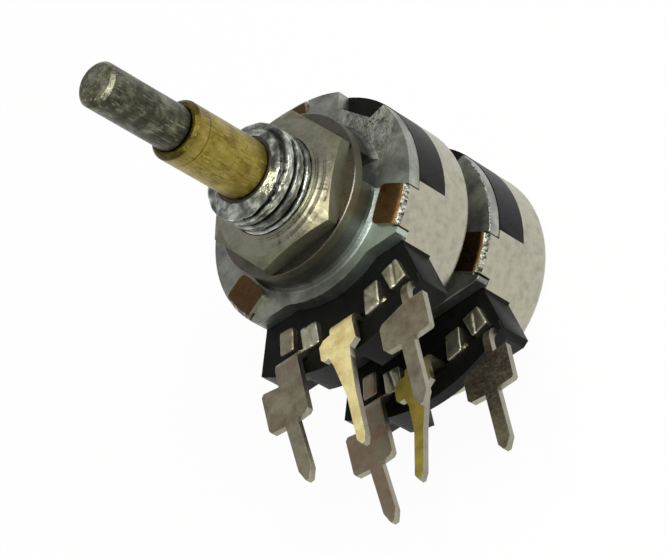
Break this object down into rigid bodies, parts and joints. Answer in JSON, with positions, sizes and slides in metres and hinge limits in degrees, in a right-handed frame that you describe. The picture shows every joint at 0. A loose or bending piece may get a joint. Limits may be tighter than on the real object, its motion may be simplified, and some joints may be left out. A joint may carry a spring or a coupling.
{
  "type": "rotary potentiometer",
  "caption": "Dual concentric rotary potentiometer: threaded bushing with nut, a short tube shaft around a long inner shaft, stacked round sections and flat solder pins.",
  "frame": {"origin": "on the shaft axis, in the plane of the raised panel seat at the foot of the threaded bushing", "axes": "+Z along the shafts towards the knob ends, -Y towards the solder pins, +X to the right seen from the knob side"},
  "size_m": [0.024, 0.0393, 0.0512],
  "materials": {
    "zinc_casting": "as-cast zinc alloy, grainy",
    "plated_nut": "worn plating, pale bevels",
    "plated_washer": "plated, bright edge",
    "black_moulding": "black phenolic moulding",
    "resistance_wafer": "phenolic paper with a carbon track",
    "tinned_brass": "tinned, slightly mottled",
    "stained_brass": "tinned, worn to a coppery tint",
    "plain_brass": "bare, satin",
    "dull_brass": "bare, darkened",
    "nickel_sheet": "plated sheet, faintly mottled",
    "brass_tube": "turned, darkened, fine scratches",
    "dark_steel": "turned, stained, scratched",
    "spring_steel": "spring steel",
    "rotor_moulding": "moulded resin",
    "spring_bronze": "stamped spring bronze"
  },
  "bodies": {
    "housing": {"front_plate": "zinc_casting", "hex_nut": "plated_nut", "washer": "plated_washer", "front_base": "black_moulding", "front_element": "resistance_wafer", "front_left_terminal": "tinned_brass", "front_middle_terminal": "plain_brass", "front_right_terminal": "tinned_brass", "front_cover": "nickel_sheet", "rear_plate": "zinc_casting", "rear_base": "black_moulding", "rear_element": "resistance_wafer", "rear_left_terminal": "stained_brass", "rear_middle_terminal": "dull_brass", "rear_right_terminal": "tinned_brass", "rear_cover": "nickel_sheet"},
    "outer_spindle": {"outer_shaft": "brass_tube", "front_clip": "spring_steel", "front_rotor": "rotor_moulding", "front_wiper": "spring_bronze"},
    "inner_spindle": {"inner_shaft": "dark_steel", "rear_clip": "spring_steel", "rear_rotor": "rotor_moulding", "rear_wiper": "spring_bronze"}
  },
  "joints": [
    {"name": "outer_shaft_turn", "type": "hinge", "parent": "housing", "child": "outer_spindle", "pos_m": [0, 0, 0], "axis": [0, 0, 1], "range_deg": [-150, 150]},
    {"name": "inner_shaft_turn", "type": "hinge", "parent": "housing", "child": "inner_spindle", "pos_m": [0, 0, 0], "axis": [0, 0, 1], "range_deg": [-150, 150]}
  ]
}
